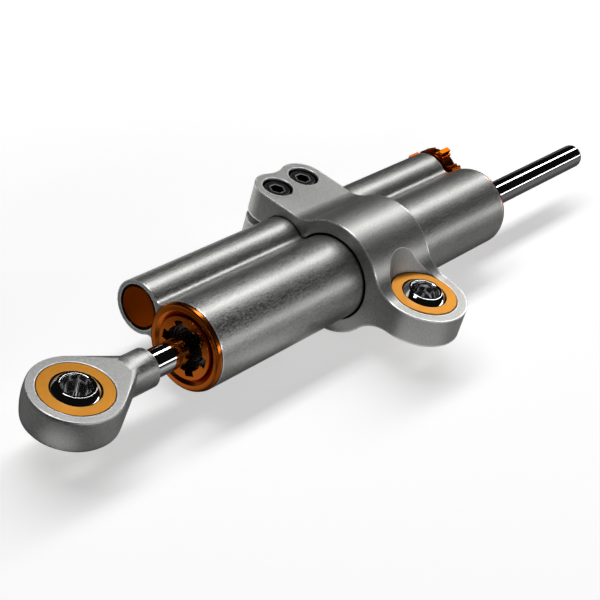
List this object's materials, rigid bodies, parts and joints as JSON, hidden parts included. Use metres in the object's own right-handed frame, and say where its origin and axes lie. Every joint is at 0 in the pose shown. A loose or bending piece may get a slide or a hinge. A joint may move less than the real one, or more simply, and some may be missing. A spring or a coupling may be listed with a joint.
{
  "type": "steering damper",
  "caption": "Linear motorcycle steering damper: twin-barrel housing with a through rod, rod-end eye, clamp with a bearing ear and two screws, and a ribbed adjuster knob.",
  "frame": {"origin": "middle of the spherical bearing in the clamp's ear, where the frame bolt passes", "axes": "+X along the barrels and the rod, from the rod end towards the adjuster; +Y from the ear's bearing across the barrels to the clamp screws; +Z along the ear's bolt axis, up"},
  "size_m": [0.3155, 0.0928, 0.043],
  "materials": {
    "housing_grey": "satin grey anodised",
    "clamp_grey": "satin grey anodised, machined",
    "screw_black": "black oxide",
    "race_gold": "satin gold",
    "ball_steel": "polished",
    "head_orange": "gloss copper-orange anodised",
    "seal_black": "matte",
    "bushing_bronze": "machined bronze",
    "piston_alloy": "machined",
    "rod_chrome": "polished hard chrome",
    "clip_steel": "phosphated spring steel",
    "eye_grey": "satin, milled faces",
    "plug_brown": "brown-orange anodised",
    "knob_orange": "gloss copper-orange anodised",
    "insert_alloy": "machined",
    "spring_steel": "bright spring steel"
  },
  "bodies": {
    "housing": {"barrel_housing": "housing_grey", "clamp_bracket": "clamp_grey", "clamp_screws": "screw_black", "ear_bearing_race": "race_gold", "front_seal_head": "head_orange", "front_head_oring": "seal_black", "front_wiper_seal": "seal_black", "front_rod_seal": "seal_black", "front_rod_bushing": "bushing_bronze", "rear_seal_head": "head_orange", "rear_head_oring": "seal_black", "rear_wiper_seal": "seal_black", "rear_rod_seal": "seal_black", "rear_rod_bushing": "bushing_bronze", "reservoir_plug": "plug_brown", "plug_oring": "seal_black", "plug_snap_ring": "seal_black", "reservoir_spring": "spring_steel", "valve_insert": "insert_alloy", "insert_oring": "seal_black", "knob_bushing": "bushing_bronze"},
    "ear_ball": {"ear_bearing_ball": "ball_steel"},
    "piston_slide": {"piston": "piston_alloy", "piston_ring": "bushing_bronze"},
    "rod": {"piston_rod": "rod_chrome", "piston_clips": "clip_steel", "rod_end_eye": "eye_grey", "eye_bearing_race": "race_gold"},
    "eye_ball": {"eye_bearing_ball": "ball_steel"},
    "knob": {"adjuster_knob": "knob_orange", "knob_clip": "clip_steel", "detent_ball": "ball_steel", "detent_spring": "spring_steel"},
    "needle": {"adjuster_needle": "ball_steel", "needle_oring": "seal_black"},
    "reservoir_float": {"reservoir_piston": "piston_alloy", "reservoir_oring": "seal_black"}
  },
  "joints": [
    {"name": "rod_slide", "type": "slide", "parent": "housing", "child": "piston_slide", "axis": [-1, 0, 0], "range_m": [-0.015, 0.075]},
    {"name": "rod_spin", "type": "hinge", "parent": "piston_slide", "child": "rod", "pos_m": [0, 0.0303, 0], "axis": [1, 0, 0], "continuous": true},
    {"name": "eye_swivel", "type": "hinge", "parent": "rod", "child": "eye_ball", "pos_m": [-0.1417, 0.0303, 0], "axis": [0, 0, 1], "continuous": true},
    {"name": "ear_swivel", "type": "hinge", "parent": "housing", "child": "ear_ball", "pos_m": [0, 0, 0], "axis": [0, 0, 1], "continuous": true},
    {"name": "knob_turn", "type": "hinge", "parent": "housing", "child": "knob", "pos_m": [0.076, 0.0537, 0.0008], "axis": [1, 0, 0], "range_deg": [-150, 150]},
    {"name": "needle_feed", "type": "slide", "parent": "knob", "child": "needle", "axis": [1, 0, 0], "range_m": [-0.000416, 0.000416]},
    {"name": "reservoir_take_up", "type": "slide", "parent": "housing", "child": "reservoir_float", "axis": [1, 0, 0], "range_m": [-0.002, 0.003], "deforming": ["reservoir_spring"]}
  ],
  "couplings": [
    {"joint": "knob_turn", "follows": "needle_feed", "rad_per_m": 6283.2}
  ]
}
